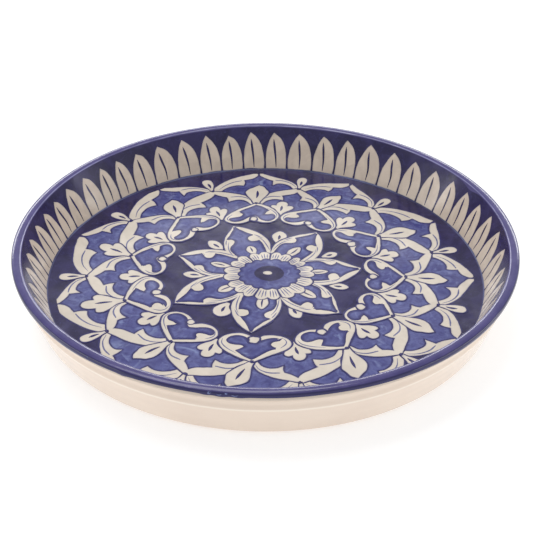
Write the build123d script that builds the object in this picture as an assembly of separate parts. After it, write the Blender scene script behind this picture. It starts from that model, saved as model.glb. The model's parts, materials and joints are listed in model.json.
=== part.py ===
"""Hand painted ceramic serving plate with an upright wall and a rolled lip.

Millimetres, +Z up. The origin is on the axis, in the plane that the plate stands on.
The plate is one thrown clay body under separate coats. All of them are cut from one
finished outline, so each coat meets its neighbours face to face.
The half section is drawn in the XY plane, with x as the radius and y as the height.
"""
import os

from build123d import *

# --- driving dimensions -----------------------------------------------------------
RIM_RADIUS = 150.0         # widest point, on the outside of the lip
HEIGHT = 36.2              # top of the lip above the standing plane
FLOOR_HEIGHT = 7.3         # painted floor of the well
FLOOR_RADIUS = 131.5       # where the floor meets the inner wall
FLOOR_FILLET = 2.6         # soft junction between floor and wall
INNER_LIP_RADIUS = 144.5   # inner edge of the lip
INNER_LIP_DROP = 0.5       # inner edge of the lip, below the top
INNER_LIP_ROUNDING = 1.1
LIP_CREST_RADIUS = 147.0   # highest line of the gently domed lip
SHOULDER_RADIUS = 149.2    # where the lip's top turns down
SHOULDER_DROP = 0.5
LIP_WIDEST_DROP = 1.6
LIP_UNDER_RADIUS = 148.3   # underside of the lip, where it turns into the cove
LIP_UNDER_DROP = 5.8
COVE_RADIUS = 144.9        # deepest point of the cove between lip and ridge
COVE_HEIGHT = 24.4
RIDGE_RADIUS = 145.6       # small raised line round the outside
RIDGE_HEIGHT = 22.0
RIDGE_SOFTENING = 0.5
HEEL_RADIUS = 138.4        # bottom of the outer wall
HEEL_HEIGHT = 1.7
HEEL_SOFTENING = 1.2
FOOT_OUTER_RADIUS = 136.4  # the flat ring that the plate stands on
FOOT_INNER_RADIUS = 127.0
RECESS_RADIUS = 124.6      # turned recess inside the foot ring
RECESS_DEPTH = 1.9

SLIP_THICKNESS = 0.4       # white slip under the painting
GLAZE_THICKNESS = 0.4      # fired glaze
COAT_THICKNESS = SLIP_THICKNESS + GLAZE_THICKNESS
RIM_BAND_DROP = 2.3        # lower edge of the lip band outside, below the top
INNER_BAND_DROP = 1.3      # lower edge of the lip band inside, below the top
UNGLAZED_HEIGHT = 0.9      # the foot ring is wiped bare up to this height
FAR = 2 * RIM_RADIUS       # reaches past the plate on every side


def corner_near(outline, radius, height):
    """The outline's corner nearest to a point given as radius and height."""
    target = Vector(radius, height)
    return outline.vertices().sort_by(lambda corner: (Vector(*corner) - target).length)[0]


def finished_outline():
    """Half section of the finished plate, with its coats."""
    floor_edge = (FLOOR_RADIUS, FLOOR_HEIGHT)
    ridge = (RIDGE_RADIUS, RIDGE_HEIGHT)
    heel = (HEEL_RADIUS, HEEL_HEIGHT)
    crest = (LIP_CREST_RADIUS, HEIGHT)
    inner_lip = (INNER_LIP_RADIUS, HEIGHT - INNER_LIP_DROP)
    shoulder = (SHOULDER_RADIUS, HEIGHT - SHOULDER_DROP)
    widest = (RIM_RADIUS, HEIGHT - LIP_WIDEST_DROP)
    under = (LIP_UNDER_RADIUS, HEIGHT - LIP_UNDER_DROP)

    lip_inside = TangentArc(crest, inner_lip, tangent=(-1, 0))
    lip_top = TangentArc(crest, shoulder, tangent=(1, 0))
    lip_outside = TangentArc(shoulder, widest, tangent=lip_top % 1)
    lip_under = TangentArc(widest, under, tangent=lip_outside % 1)
    cove = TangentArc(lip_under @ 1, (COVE_RADIUS, COVE_HEIGHT), tangent=lip_under % 1)
    rest = Polyline(
        cove @ 1,
        ridge,
        heel,
        (FOOT_OUTER_RADIUS, 0),
        (FOOT_INNER_RADIUS, 0),
        (RECESS_RADIUS, RECESS_DEPTH),
        (0, RECESS_DEPTH),
        (0, FLOOR_HEIGHT),
        floor_edge,
        lip_inside @ 1,
    )
    outline = make_face(lip_inside + lip_top + lip_outside + lip_under + cove + rest)
    outline = fillet(corner_near(outline, *inner_lip), INNER_LIP_ROUNDING)
    outline = fillet(corner_near(outline, *floor_edge), FLOOR_FILLET)
    outline = fillet(corner_near(outline, *ridge), RIDGE_SOFTENING)
    return fillet(corner_near(outline, *heel), HEEL_SOFTENING)


def block(low_radius, high_radius, low_height, high_height):
    """A rectangle of the section plane, used to pick out one zone."""
    size = (high_radius - low_radius, high_height - low_height)
    return Pos(low_radius, low_height) * Rectangle(*size, align=Align.MIN)


def inner_offset(outline, depth):
    """The half section that is left when a coat of this depth is taken off all round."""
    whole = outline + mirror(outline, about=Plane.YZ)
    return offset(whole, -depth) & block(0, FAR, 0, FAR)


def plate_sections():
    """The half section of every piece, by its name."""
    finished = finished_outline()
    under_glaze = inner_offset(finished, GLAZE_THICKNESS)
    bare_foot = finished & block(0, FAR, 0, UNGLAZED_HEIGHT)
    clay = inner_offset(finished, COAT_THICKNESS) + bare_foot
    coats = finished - clay

    lip_top = block(0, LIP_CREST_RADIUS, HEIGHT - INNER_BAND_DROP, FAR)
    lip_outside = block(LIP_CREST_RADIUS, FAR, HEIGHT - RIM_BAND_DROP, FAR)
    lip_zone = lip_top + lip_outside
    base_coat, inside_coat, outside_coat = (coats - lip_zone).faces().sort_by(Axis.X)

    inside_glaze = inside_coat - under_glaze
    floor_zone = block(0, FLOOR_RADIUS, 0, HEIGHT)
    return {
        "clay_body": clay,
        "inner_slip": inside_coat & under_glaze,
        "floor_glaze": inside_glaze & floor_zone,
        "wall_glaze": inside_glaze - floor_zone,
        "rim_glaze": coats & lip_zone,
        "outer_glaze": outside_coat,
        "base_glaze": base_coat,
    }


def turn(section):
    """One full turn of a half section about the plate's axis."""
    return revolve(Plane.XZ * section, axis=Axis.Z)


os.makedirs("parts", exist_ok=True)
for name, section in plate_sections().items():
    export_step(turn(section), f"parts/{name}.step")
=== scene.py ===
import cmath
import json
import math
from collections import Counter

import bpy
import numpy as np
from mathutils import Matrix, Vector, kdtree, noise
from mathutils.geometry import delaunay_2d_cdt


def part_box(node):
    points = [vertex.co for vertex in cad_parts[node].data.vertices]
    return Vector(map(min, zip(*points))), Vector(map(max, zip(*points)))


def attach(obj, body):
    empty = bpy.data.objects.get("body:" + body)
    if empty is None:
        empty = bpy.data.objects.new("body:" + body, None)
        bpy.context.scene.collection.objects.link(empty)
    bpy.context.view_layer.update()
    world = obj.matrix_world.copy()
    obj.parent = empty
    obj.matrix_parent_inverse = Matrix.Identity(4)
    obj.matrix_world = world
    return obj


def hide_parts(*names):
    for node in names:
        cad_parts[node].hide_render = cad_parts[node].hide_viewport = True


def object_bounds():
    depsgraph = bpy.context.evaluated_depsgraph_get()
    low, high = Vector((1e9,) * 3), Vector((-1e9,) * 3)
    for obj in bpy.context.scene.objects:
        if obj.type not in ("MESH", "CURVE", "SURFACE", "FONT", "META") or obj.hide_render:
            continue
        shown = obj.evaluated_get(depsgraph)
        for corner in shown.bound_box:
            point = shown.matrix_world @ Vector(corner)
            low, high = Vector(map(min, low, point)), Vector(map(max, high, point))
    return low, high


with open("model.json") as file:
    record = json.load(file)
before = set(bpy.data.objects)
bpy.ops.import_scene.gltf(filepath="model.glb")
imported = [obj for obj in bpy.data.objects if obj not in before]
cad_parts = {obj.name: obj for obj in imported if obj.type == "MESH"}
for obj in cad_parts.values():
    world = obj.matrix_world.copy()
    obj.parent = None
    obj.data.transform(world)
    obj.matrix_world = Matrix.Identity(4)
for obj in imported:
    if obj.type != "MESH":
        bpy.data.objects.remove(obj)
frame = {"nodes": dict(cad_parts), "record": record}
CAD_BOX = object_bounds()

# The plate is drawn in millimetres and written to Blender in metres. Its surface is one line, the
# outline of the half section, from the middle of the floor over the lip to the middle of the base.
# A place on the surface is an angle and a run, the distance from the floor's middle along that line.
MM = 0.001

# ---------------- the plate's section, radius and height
BOX_LOW, BOX_HIGH = (Vector(corner) / MM for corner in CAD_BOX)
RIM_RADIUS = (BOX_HIGH.x - BOX_LOW.x) / 2
HEIGHT = BOX_HIGH.z
FLOOR_HEIGHT = next(m["pos_m"][2] for m in frame["record"]["mounts"] if m["name"] == "well_floor") / MM
FLOOR_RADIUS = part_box("floor_glaze")[1].x / MM
FLOOR_FILLET = 2.6
INNER_LIP = (144.5, HEIGHT - 0.5)
INNER_LIP_ROUNDING = 1.1
CREST = (147.0, HEIGHT)
SHOULDER = (149.2, HEIGHT - 0.5)
WIDEST = (RIM_RADIUS, HEIGHT - 1.6)
LIP_UNDER = (148.3, HEIGHT - 5.8)
COVE = (144.9, 24.4)
RIDGE = (145.6, 22.0)
RIDGE_SOFTENING = 0.5
HEEL = (138.4, 1.7)
HEEL_SOFTENING = 1.2
FOOT = [(136.4, 0.0), (127.0, 0.0)]
RECESS = (124.6, 1.9)
BARE_HEIGHT = 0.9
LIP_BAND_INSIDE = 1.3
LIP_BAND_OUTSIDE = 2.3
GLAZE = 0.4
COAT = 0.8


def tangent_arc(start, end, direction, steps=14):
    """Points of the arc that leaves start in this direction and ends at end, and its last direction."""
    start, direction = complex(*start), complex(*direction)
    chord = complex(*end) - start
    turn = 2j * cmath.phase(chord / direction)
    across = chord / (cmath.exp(turn) - 1)
    points = [start + across * (cmath.exp(turn * k / steps) - 1) for k in range(1, steps + 1)]
    heading = direction * cmath.exp(turn)
    return [(point.real, point.imag) for point in points], (heading.real, heading.imag)


def rounded(before, corner, after, radius, steps=10):
    """Points of a fillet of this radius at a corner between two straight runs."""
    corner = Vector(corner)
    to_before = (Vector(before) - corner).normalized()
    to_after = (Vector(after) - corner).normalized()
    half = to_before.angle(to_after) / 2
    start = corner + to_before * radius / math.tan(half)
    end = corner + to_after * radius / math.tan(half)
    return [tuple(start)] + tangent_arc(start, end, -to_before, steps)[0]


def section_outline():
    """The whole outline as points, from the middle of the floor round to the middle of the base."""
    floor_edge = (FLOOR_RADIUS, FLOOR_HEIGHT)
    lip_inside = tangent_arc(CREST, INNER_LIP, (-1, 0), 6)[0][::-1]
    lip_top, heading = tangent_arc(CREST, SHOULDER, (1, 0), 6)
    lip_outside, heading = tangent_arc(SHOULDER, WIDEST, heading)
    lip_under, heading = tangent_arc(WIDEST, LIP_UNDER, heading)
    cove = tangent_arc(LIP_UNDER, COVE, heading)[0]
    points = [(0, FLOOR_HEIGHT)]
    points += rounded(points[0], floor_edge, INNER_LIP, FLOOR_FILLET)
    points += rounded(floor_edge, INNER_LIP, lip_inside[2], INNER_LIP_ROUNDING)
    points += lip_inside[2:] + [CREST] + lip_top + lip_outside + lip_under + cove
    points += rounded(COVE, RIDGE, HEEL, RIDGE_SOFTENING, 6)
    points += rounded(RIDGE, HEEL, FOOT[0], HEEL_SOFTENING, 8)
    return np.array(points + FOOT + [RECESS, (0, RECESS[1])])


OUTLINE = section_outline()
RUNS = np.concatenate([[0], np.cumsum(np.linalg.norm(np.diff(OUTLINE, axis=0), axis=1))])
END_RUN = RUNS[-1]


def section_at(run):
    """Radius and height of the outline at these runs."""
    return np.interp(run, RUNS, OUTLINE[:, 0]), np.interp(run, RUNS, OUTLINE[:, 1])


def run_where(test):
    """The first run at which test(radius, height) is true."""
    fine = np.arange(0, END_RUN, 0.02)
    return float(fine[np.argmax(test(*section_at(fine)))])


WALL_RUN = run_where(lambda r, z: r > FLOOR_RADIUS)
LIP_RUN = run_where(lambda r, z: z > HEIGHT - LIP_BAND_INSIDE)
CREST_RUN = run_where(lambda r, z: r > CREST[0])
OUTSIDE_RUN = run_where(lambda r, z: (r > CREST[0]) & (z < HEIGHT - LIP_BAND_OUTSIDE))
LIP_LENGTH = OUTSIDE_RUN - CREST_RUN
RIDGE_RUN = run_where(lambda r, z: (r > HEEL[0] + 3) & (z < RIDGE[1]) & (z > RIDGE[1] - 1))
BARE_RUN = run_where(lambda r, z: (r > HEEL[0] - 5) & (z < BARE_HEIGHT) & (r < HEEL[0] + 3))
BASE_RUN = run_where(lambda r, z: (r < FOOT[1][0]) & (r > RECESS[0]) & (z > BARE_HEIGHT) & (z < RECESS[1]))


def waver(angle, size, seed, lobes=(2, 3, 5, 8)):
    """A smooth closed wander round the plate, about as large as size."""
    total = np.zeros_like(angle, dtype=float)
    for index, count in enumerate(lobes):
        phase = 2.4 * seed + 1.7 * index * index + 0.9 * seed * index
        total += np.sin(count * angle + phase) / (1 + index)
    return total * size / 2


RING_SIZE, FINE_RING_SIZE = 0.022, 0.008


def throwing_lines(angle, run):
    """How far the thrower's rings stand out of the outer wall."""
    height = section_at(run)[1]
    outside = np.clip((run - OUTSIDE_RUN - 8) / 4, 0, 1) * np.clip((BARE_RUN - 2 - run) / 3, 0, 1)
    rings = RING_SIZE * np.sin(height * 0.9 + 0.4 * np.sin(angle * 3 + 1))
    rings += FINE_RING_SIZE * np.sin(height * 3.3 + 1.3 + 0.6 * np.sin(2 * angle))
    return outside * rings


OUT_OF_ROUND = 0.0009      # as a share of the radius
RIM_WAVER = 0.22
SLOPE_REACH = 0.35         # how far ahead and behind the slope of the outline is taken


def thrown(angle, radius, height):
    """Points in metres of the hand-thrown plate, a little out of round and uneven in height."""
    raised = np.clip((height - FLOOR_HEIGHT) / (HEIGHT - FLOOR_HEIGHT), 0, 1)
    radius = radius * (1 + waver(angle, OUT_OF_ROUND, 1, (2, 3)))
    height = height + raised * waver(angle, RIM_WAVER, 2)
    return np.stack([radius * np.cos(angle), radius * np.sin(angle), height], axis=-1) * MM


def on_plate(angle, run, lift=0.0):
    """Points in metres at these angles (radians) and runs (mm), lifted off the surface by lift mm."""
    angle, run = np.broadcast_arrays(np.asarray(angle, float), np.asarray(run, float))
    radius, height = section_at(run)
    ahead = section_at(np.clip(run + SLOPE_REACH, 0, END_RUN))
    behind = section_at(np.clip(run - SLOPE_REACH, 0, END_RUN))
    along_r, along_z = ahead[0] - behind[0], ahead[1] - behind[1]
    lift = (lift + throwing_lines(angle, run)) / np.hypot(along_r, along_z)
    return thrown(angle, radius - along_z * lift, height + along_r * lift)


def add_piece(name, vertices, faces, material, edge=None, replaced=()):
    """A smooth-shaded mesh object that belongs to the plate."""
    mesh = bpy.data.meshes.new(name)
    mesh.from_pydata([tuple(v) for v in vertices], [], [tuple(f) for f in faces])
    mesh.validate()
    mesh.shade_smooth()
    mesh.set_sharp_from_angle(angle=math.radians(40))
    if edge is not None:
        attribute = mesh.attributes.new("edge", "FLOAT", "POINT")
        attribute.data.foreach_set("value", np.asarray(edge, np.float32))
    mesh.materials.append(material)
    piece = bpy.data.objects.new(name, mesh)
    bpy.context.scene.collection.objects.link(piece)
    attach(piece, "root")
    if replaced:
        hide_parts(*replaced)


TURNS = 480
ANGLES = np.arange(TURNS) * 2 * math.pi / TURNS


def ring_faces(rows, wrap_rows):
    """Quads of a grid of rows by TURNS vertices that closes round the plate."""
    faces = []
    for row in range(rows if wrap_rows else rows - 1):
        low, high = row * TURNS, (row + 1) % rows * TURNS
        for i in range(TURNS):
            j = (i + 1) % TURNS
            faces.append((low + i, high + i, high + j, low + j))
    return faces


def capped_faces(rows):
    """Quads of a grid, and fans that close both its ends to two poles, the vertices after the grid."""
    faces = ring_faces(rows, False)
    last, pole = (rows - 1) * TURNS, rows * TURNS
    for i in range(TURNS):
        j = (i + 1) % TURNS
        faces += [(pole, i, j), (pole + 1, last + j, last + i)]
    return faces


def coat(name, start, stop, rows, material, replaced):
    """A closed coat between two runs, given for every angle of ANGLES. Its edge attribute is the
    distance in mm past the crest of the lip along the section, minus on the inner side."""
    share = np.linspace(0, 1, rows)[:, None]
    run = start + (stop - start) * share
    vertices = np.concatenate([on_plate(ANGLES, run), on_plate(ANGLES, run, -GLAZE)[::-1]])
    past_crest = np.concatenate([run, run[::-1]]).ravel() - CREST_RUN
    add_piece(name, vertices.reshape(-1, 3), ring_faces(2 * rows, True), material, past_crest, replaced)


def disc(name, middle, stop, rows, material, replaced):
    """A closed round coat from the run of the plate's middle, on the floor or the base, to a run."""
    share = np.linspace(0, 1, rows + 1)[1:, None]
    run = np.broadcast_to(middle + (stop - middle) * share, (rows, TURNS))
    grid = np.concatenate([on_plate(ANGLES, run), on_plate(ANGLES, run, -GLAZE)[::-1]])
    poles = np.stack([on_plate(0.0, middle), on_plate(0.0, middle, -GLAZE)])
    past_crest = np.concatenate([run.ravel(), run[::-1].ravel(), [middle, middle]]) - CREST_RUN
    faces = capped_faces(2 * rows)
    if middle > stop:
        faces = [face[::-1] for face in faces]
    vertices = np.concatenate([grid.reshape(-1, 3), poles])
    add_piece(name, vertices, faces, material, past_crest, replaced)


def inside_winding(points, outlines):
    """How many times the outlines go round each point, anticlockwise counted as plus."""
    points = np.asarray(points, float)
    total = np.zeros(len(points), int)
    for outline in outlines:
        a = np.asarray(outline, float)
        b = np.roll(a, -1, axis=0)
        low, high = a.min(0), a.max(0)
        near = np.nonzero(np.all((points >= low) & (points <= high), axis=1))[0]
        if not len(near):
            continue
        p = points[near][:, None]
        side = (b[:, 0] - a[:, 0]) * (p[..., 1] - a[:, 1]) - (p[..., 0] - a[:, 0]) * (b[:, 1] - a[:, 1])
        up = (a[:, 1] <= p[..., 1]) & (b[:, 1] > p[..., 1]) & (side > 0)
        down = (a[:, 1] > p[..., 1]) & (b[:, 1] <= p[..., 1]) & (side < 0)
        total[near] += up.sum(1) - down.sum(1)
    return total


def distance_to(places):
    """A function that tells how far a point is from the nearest of these places."""
    tree = kdtree.KDTree(len(places))
    for index, (x, y) in enumerate(places):
        tree.insert((x, y, 0), index)
    tree.balance()
    return lambda point: tree.find((point[0], point[1], 0))[2]


ROW_STEP = 0.866    # height of a triangle with sides of 1


def filled(outlines, spacing):
    """Points and triangles of everything that the outlines go round."""
    corners = np.concatenate([np.asarray(o, float) for o in outlines])
    edges, first = [], 0
    for outline in outlines:
        count = len(outline)
        edges += [(first + i, first + (i + 1) % count) for i in range(count)]
        first += count
    low, high = corners.min(0), corners.max(0)
    across = np.arange(low[0], high[0], spacing)
    along = np.arange(low[1], high[1], spacing * ROW_STEP)
    grid = np.array([(x + spacing / 2 * (k % 2), y) for k, y in enumerate(along) for x in across])
    grid = grid[inside_winding(grid, outlines) > 0]
    from_edge = distance_to(corners)
    grid = [point for point in grid if from_edge(point) > 0.5 * spacing]
    points = [Vector(point) for point in [*corners, *grid]]
    points, _, triangles, _, _, _ = delaunay_2d_cdt(points, edges, [], 0, 1e-5)
    points = np.array([tuple(p) for p in points])
    triangles = np.array([tuple(t) for t in triangles])
    middles = points[triangles].mean(axis=1)
    triangles = triangles[inside_winding(middles, outlines) > 0]
    return points, triangles


def boundary_sides(triangles):
    """The directed sides that only one triangle has."""
    sides = [side for a, b, c in triangles for side in ((a, b), (b, c), (c, a))]
    seen = set(sides)
    return [(a, b) for a, b in sides if (b, a) not in seen]


def split_pinches(points, triangles):
    """Gives each separate fan of triangles its own copy of a corner where two fans only touch."""
    points = list(points)
    starts = Counter(a for a, b in boundary_sides(triangles))
    for corner in [a for a, count in starts.items() if count > 1]:
        around = [triangle for triangle in triangles if corner in triangle]
        while around:
            fan = [around.pop()]
            for member in fan:
                fan += [other for other in around if len(set(other) & set(member)) > 1]
                around = [other for other in around if other not in fan]
            if around:
                points.append(points[corner])
                for triangle in fan:
                    triangle[triangle.index(corner)] = len(points) - 1
    return np.array(points), triangles


def floor_place(points):
    """Angle and run of points drawn on the flat plan of the floor."""
    return np.arctan2(points[:, 1], points[:, 0]), np.hypot(points[:, 0], points[:, 1])


def wall_place(points):
    """Angle and run of points drawn on the unrolled wall: x round it at FLOOR_RADIUS, y up it."""
    return points[:, 0] / FLOOR_RADIUS, points[:, 1] + WALL_RUN


def lip_place(points):
    """Angle and run of points drawn on the unrolled outer face of the lip: y is from its lower edge."""
    return points[:, 0] / RIM_RADIUS, points[:, 1] + OUTSIDE_RUN


LAYER = 0.022       # how much each layer of paint stands over the one before
EMBEDDED = 0.05     # how deep every layer reaches into the glaze


def painting(name, outlines, layer, material, spacing=1.6, place=floor_place, near=None):
    """A thin closed layer of paint over the glaze, filling everything the outlines go round. Its edge
    attribute is the distance in mm to its own edge, or to the outlines in near."""
    points, triangles = filled(outlines, spacing)
    used = np.unique(triangles)
    renumber = np.full(len(points), -1)
    renumber[used] = np.arange(len(used))
    points, triangles = split_pinches(points[used], renumber[triangles].tolist())
    rim = boundary_sides(triangles)
    from_edge = distance_to(np.concatenate(near) if near else points[[a for a, b in rim]])
    edge = [from_edge(point) for point in points]
    angle, run = place(points)
    vertices = np.concatenate([on_plate(angle, run, LAYER * layer), on_plate(angle, run, -EMBEDDED)])
    count = len(points)
    faces = triangles + [(c + count, b + count, a + count) for a, b, c in triangles]
    faces += [(b, a, a + count, b + count) for a, b in rim]
    if place is not floor_place:
        faces = [face[::-1] for face in faces]
    add_piece(name, vertices, faces, material, edge + edge)


# ---------------- drawing with a brush, in millimetres
# A motif is drawn with x to the right and y away from the plate's middle. K marks a corner point.
K = "corner"
STROKE_STEP = 0.8


def between_points(a, b, c, d, t):
    """The point at share t between b and c on the smooth curve through four points."""
    return tuple(0.5 * (2 * b[i] + (c[i] - a[i]) * t + (2 * a[i] - 5 * b[i] + 4 * c[i] - d[i]) * t * t
                        + (3 * b[i] - a[i] - 3 * c[i] + d[i]) * t ** 3) for i in (0, 1))


def curve(points, step):
    """Points along the smooth curve from the second of these points to the last but one."""
    line = []
    for a, b, c, d in zip(points, points[1:], points[2:], points[3:]):
        count = max(1, round(math.dist(b[:2], c[:2]) / step))
        line += [between_points(a, b, c, d, k / count) for k in range(count)]
    return line


def smooth_line(points, step=STROKE_STEP):
    """An open smooth line through the points."""
    first = tuple(2 * points[0][i] - points[1][i] for i in (0, 1))
    last = tuple(2 * points[-1][i] - points[-2][i] for i in (0, 1))
    return curve([first, *points, last], step) + [tuple(points[-1][:2])]


def outline(points):
    """A closed outline, smooth except at the corner points."""
    corners = [i for i, point in enumerate(points) if len(point) > 2]
    count = len(points)
    line = []
    for start, stop in zip(corners, corners[1:] + [corners[0] + count]):
        line += smooth_line([points[k % count][:2] for k in range(start, stop + 1)])[:-1]
    return line


def round_outline(points, step):
    """A closed outline, smooth all the way round."""
    return curve(points[-1:] + points + points[:2], step)


def polar(degrees, radius):
    return radius * math.cos(math.radians(degrees)), radius * math.sin(math.radians(degrees))


def stretched(points, drawn_ends, start, end):
    """Turns and sizes a drawing so that its two ends lie on start and end."""
    drawn_start, drawn_end = complex(*drawn_ends[0]), complex(*drawn_ends[1])
    turn = (complex(*end) - complex(*start)) / (drawn_end - drawn_start)
    moved = []
    for point in points:
        place = complex(*start) + (complex(*point[:2]) - drawn_start) * turn
        moved.append((place.real, place.imag) + tuple(point[2:]))
    return moved


def facing(degrees, points):
    """Puts a drawing on the plate with its y axis pointing outward at this angle."""
    c, s = math.cos(math.radians(degrees)), math.sin(math.radians(degrees))
    return [(p[1] * c + p[0] * s, p[1] * s - p[0] * c) + tuple(p[2:]) for p in points]


HAND_SEED = 7
noise.seed_set(HAND_SEED)   # without it, noise_vector gives other vectors on every run


def unsteady(points, size=0.3):
    """The same line drawn by hand: it wanders a little, the same way wherever it passes a place."""
    drawn = []
    for x, y in points:
        slow = noise.noise_vector(Vector((x / 11, y / 11, 3.7)))
        quick = noise.noise_vector(Vector((x / 3.1, y / 3.1, 8.2)))
        drawn.append((x + size * (1.6 * slow.x + 0.5 * quick.x), y + size * (1.6 * slow.y + 0.5 * quick.y)))
    return drawn


def anticlockwise(points):
    area = sum(a[0] * b[1] - b[0] * a[1] for a, b in zip(points, points[1:] + points[:1]))
    return points if area > 0 else points[::-1]


def spread(points, width):
    """An anticlockwise outline grown outward by about width, unevenly, as the ink round a shape."""
    line = np.array(points)
    before, after = line - np.roll(line, 1, axis=0), np.roll(line, -1, axis=0) - line
    before /= np.linalg.norm(before, axis=1)[:, None] + 1e-9
    after /= np.linalg.norm(after, axis=1)[:, None] + 1e-9
    along = before + after
    along /= np.linalg.norm(along, axis=1)[:, None] + 1e-6
    outward = np.stack([along[:, 1], -along[:, 0]], axis=1)
    miter = 1 / np.clip((along * after).sum(1), 0.55, 1)
    grown = []
    for (x, y), direction, stretch in zip(line, outward, miter):
        uneven = 1 + 0.7 * noise.noise(Vector((x / 4.5, y / 4.5, 1.3)))
        reach = width * stretch * uneven
        grown.append((x + direction[0] * reach, y + direction[1] * reach))
    return grown


def stroke(points, width, start=0.25, end=0.15, widest=0.4):
    """The outline of one brush stroke along a line: thin at its ends and widest part of the way along."""
    line = np.array(smooth_line(points, 0.5))
    share = np.linspace(0, 1, len(line))
    swell = np.where(share < widest, start + (1 - start) * np.sin(share / widest * math.pi / 2),
                     end + (1 - end) * np.cos((share - widest) / (1 - widest) * math.pi / 2))
    along = np.gradient(line, axis=0)
    along /= np.linalg.norm(along, axis=1)[:, None] + 1e-9
    across = np.stack([-along[:, 1], along[:, 0]], axis=1) * (swell * width / 2)[:, None]
    return anticlockwise([tuple(p) for p in np.concatenate([line + across, (line - across)[::-1]])])


def blot(x, y, size, seed):
    """A small round blot of ink."""
    points = []
    for k in range(10):
        reach = size * (1 + 0.35 * noise.noise(Vector((seed * 3.3, k * 0.9, 0.5))))
        points.append((x + reach * math.cos(k * math.pi / 5), y + reach * math.sin(k * math.pi / 5)))
    return round_outline(points, 0.4)


# ---------------- the motifs
# A leaf has the ends that it is fitted by, its blade, its vein and, in the arches, the field's edge.
ARCH_LEAF_LEFT = {
    "ends": ((-27, 103), (5, 127.5)),
    "blade": [(-27, 103, K), (-25.5, 108), (-20.5, 114), (-14, 119), (-7, 122.8), (-1, 125.2),
              (3.8, 127.3, K), (4.6, 123.8), (1.5, 119.6), (-2.5, 118), (-5, 117.3, K), (-4.8, 113.6),
              (-5.8, 110, K), (-10, 110.6), (-15, 109), (-18.8, 106), (-21.5, 102, K)],
    "vein": [(-22.8, 105), (-18.5, 110.5), (-12.5, 114.6), (-6.5, 116.6)],
    "spine": [(-27, 103), (-21, 110.5), (-11, 117.5), (-2, 121.8), (5, 127)],
}
ARCH_LEAF_RIGHT = {
    "ends": ((31.5, 102.5), (5.5, 127.5)),
    "blade": [(31.8, 103, K), (29.6, 109), (25, 114.5), (19, 119), (13, 122.7), (7, 127, K),
              (6.5, 123.6), (9, 120.4), (12.3, 117.3), (15, 115.8, K), (14.6, 112.5), (14.3, 109.3, K),
              (18, 111.4), (22.2, 110.3), (26, 107), (28.2, 102, K)],
    "vein": [(29.8, 105), (27, 110.4), (22, 114.5), (16.5, 116.2)],
    "spine": [(5.5, 127), (11, 121), (20, 116), (27.5, 109), (31.5, 102.5)],
}
INNER_LEAF_LEFT = {
    "ends": ((-28, 102.2), (0, 86)),
    "blade": [(0, 86, K), (-2.2, 91), (-6.2, 95.6), (-12, 98.7), (-19, 100.6), (-27.8, 102.3, K),
              (-27.2, 99), (-23, 96), (-19, 94.4, K), (-18, 92), (-17.6, 88.8, K), (-14, 90.8),
              (-10, 91.2), (-6, 89.4), (-3, 85.4, K)],
    "vein": [(-2, 88.3), (-5, 92.6), (-10, 95.1), (-16.5, 94.7)],
}
INNER_LEAF_RIGHT = {
    "ends": ((31.5, 101.7), (1.5, 86)),
    "blade": [(1.2, 86, K), (3.3, 91), (7, 95.2), (12, 98.2), (19, 100.6), (31, 102.2, K),
              (31.4, 98.8), (27.5, 95.8), (23, 94.7), (19.6, 94.2, K), (20, 91.4), (19.6, 88.2, K),
              (16, 89.9), (12, 90.1), (8, 88.3), (4.6, 84.6, K)],
    "vein": [(3.8, 88), (7.3, 91.8), (12.5, 93.8), (18.5, 92.9)],
}
BUD_HEIGHT = 24
BUD_ENDS = ((0, 0), (0, BUD_HEIGHT))
KITE = [(-1.2, 0, K), (-2.4, 4), (-5.3, 10), (-6.4, 14.5), (-4.8, 18.4), (-1.8, 21), (0.8, 23.6, K),
        (3.6, 21.6), (5, 18.6), (6.6, 15), (5.2, 10), (2.6, 4), (1.2, 0, K)]
TREFOIL = [(-1, 0, K), (-2.2, 4.2), (-6, 9), (-8, 13.4), (-7.4, 16.4), (-4.2, 16.3, K), (-4.1, 19.6),
           (-2.6, 22.8), (0.4, 24), (3, 22.6), (3.9, 19.4), (3.6, 16.6, K), (6.8, 17), (8.4, 14.4),
           (6.6, 10), (2.4, 4.2), (1, 0, K)]
SPOON = [(-1, 0, K), (-1.9, 5), (-4.1, 11.4), (-5, 17), (-3.9, 22), (0, 24), (3.9, 22), (5, 17),
         (4.1, 11.4), (1.9, 5), (1, 0, K)]
SEED = [(-1, 0, K), (-4.4, 6.4), (-6.4, 13.8), (-4.3, 20.2), (0, 24), (4.8, 20.2), (6.4, 13.8),
        (4.4, 6.4), (1, 0, K)]
MIDLINE = [(0, 7), (0.3, 11), (0, 16.5)]
LEAF_MIDRIB = [(0, 8), (0.6, 14), (0, 21)]
# The buds between the hearts and outside the arches: drawing, width and length.
GAP_BUD = (TREFOIL, 14.59, 17.5)
OUTER_BUD = (SPOON, 6.875, 16.5)

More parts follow.
